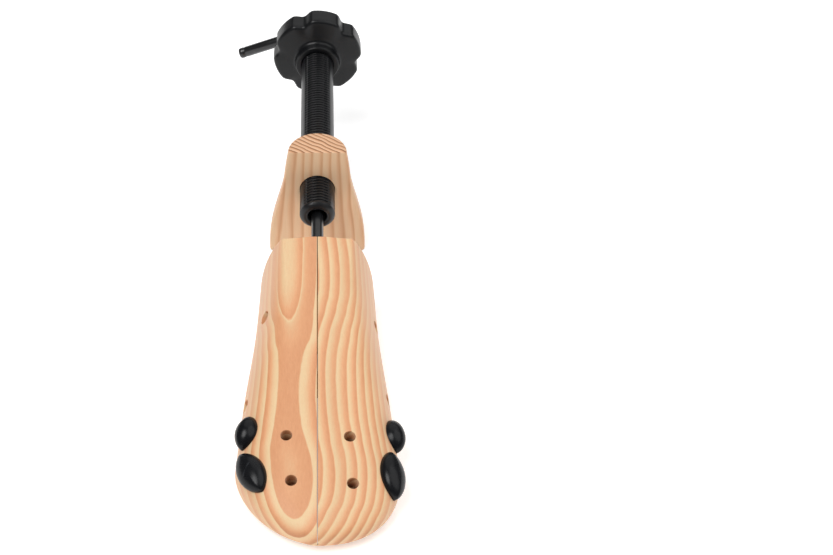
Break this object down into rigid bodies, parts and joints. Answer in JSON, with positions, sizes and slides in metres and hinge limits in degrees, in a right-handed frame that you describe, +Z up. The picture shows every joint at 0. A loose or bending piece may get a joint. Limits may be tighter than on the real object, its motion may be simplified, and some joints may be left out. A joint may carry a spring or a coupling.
{
  "type": "two-way wooden shoe stretcher",
  "caption": "Two-way wooden shoe tree: split toe block with domed plugs, heel block, black threaded tube with lobed knob, and a bent lever rod that spreads the toe.",
  "frame": {"origin": "the middle of the heel block's flat sole face", "axes": "+Z up, +Y from the toe towards the heel and knob, +X towards the big-toe side"},
  "size_m": [0.1008, 0.4079, 0.091],
  "materials": {
    "pine": "sanded pine with orange latewood bands, sealed satin",
    "black_plastic": "glossy moulded black",
    "plug_plastic": "glossy moulded black",
    "tube_plastic": "satin moulded black",
    "black_steel": "black oxide coated steel",
    "zinc_steel": "bright zinc plate",
    "brass": "machined"
  },
  "bodies": {
    "heel": {"heel_block": "pine", "heel_nut": "zinc_steel", "heel_nut_screw": "zinc_steel"},
    "carriage": {"thrust_washer": "zinc_steel"},
    "handle": {"threaded_tube": "tube_plastic", "knob": "black_plastic", "knob_set_screw": "black_steel"},
    "toe_frame": {"spreader_frame": "zinc_steel", "guide_pin_front": "zinc_steel", "guide_pin_rear": "zinc_steel"},
    "spindle": {"spindle_rod": "black_steel", "thrust_collar": "black_steel", "thrust_collar_pin": "zinc_steel", "stop_collar": "black_steel", "stop_collar_pin": "zinc_steel", "rod_circlip": "black_steel"},
    "wedge": {"wedge_nut": "brass"},
    "toe_left": {"toe_half_left": "pine", "drive_pin_left": "zinc_steel"},
    "toe_right": {"toe_half_right": "pine", "drive_pin_right": "zinc_steel"},
    "left_rear_plug": {"plug_left_rear": "plug_plastic"},
    "left_front_plug": {"plug_left_front": "plug_plastic"},
    "right_rear_plug": {"plug_right_rear": "plug_plastic"},
    "right_front_plug": {"plug_right_front": "plug_plastic"}
  },
  "joints": [
    {"name": "length_travel", "type": "slide", "parent": "heel", "child": "carriage", "axis": [0, -0.9945, -0.1045], "range_m": [-0.02, 0.072]},
    {"name": "knob_turn", "type": "hinge", "parent": "carriage", "child": "handle", "pos_m": [0, 0, 0.049], "axis": [0, -0.9945, -0.1045], "range_deg": [-3010, 10810]},
    {"name": "toe_swivel", "type": "hinge", "parent": "carriage", "child": "toe_frame", "pos_m": [0, 0, 0.049], "axis": [0, -0.9945, -0.1045], "continuous": true},
    {"name": "lever_turn", "type": "hinge", "parent": "toe_frame", "child": "spindle", "pos_m": [0, 0, 0.049], "axis": [0, -0.9945, -0.1045], "range_deg": [-10, 5410]},
    {"name": "wedge_travel", "type": "slide", "parent": "toe_frame", "child": "wedge", "axis": [0, 0.9945, 0.1045], "range_m": [0, 0.03]},
    {"name": "left_spread", "type": "slide", "parent": "toe_frame", "child": "toe_left", "axis": [-1, 0, 0], "range_m": [-0.0001, 0.0101]},
    {"name": "right_spread", "type": "slide", "parent": "toe_frame", "child": "toe_right", "axis": [1, 0, 0], "range_m": [-0.0001, 0.0101]},
    {"name": "left_rear_plug_out", "type": "slide", "parent": "toe_left", "child": "left_rear_plug", "axis": [-0.7139, -0.0684, 0.6969], "range_m": [0, 0.012]},
    {"name": "left_front_plug_out", "type": "slide", "parent": "toe_left", "child": "left_front_plug", "axis": [-0.5135, -0.2678, 0.8153], "range_m": [0, 0.012]},
    {"name": "right_rear_plug_out", "type": "slide", "parent": "toe_right", "child": "right_rear_plug", "axis": [0.8983, 0.0204, 0.4388], "range_m": [0, 0.012]},
    {"name": "right_front_plug_out", "type": "slide", "parent": "toe_right", "child": "right_front_plug", "axis": [0.6754, -0.162, 0.7194], "range_m": [0, 0.012]}
  ],
  "couplings": [
    {"joint": "knob_turn", "follows": "length_travel", "rad_per_m": 2618},
    {"joint": "lever_turn", "follows": "wedge_travel", "rad_per_m": 3141.6},
    {"joint": "left_spread", "follows": "wedge_travel", "ratio": 0.33333},
    {"joint": "right_spread", "follows": "wedge_travel", "ratio": 0.33333}
  ]
}
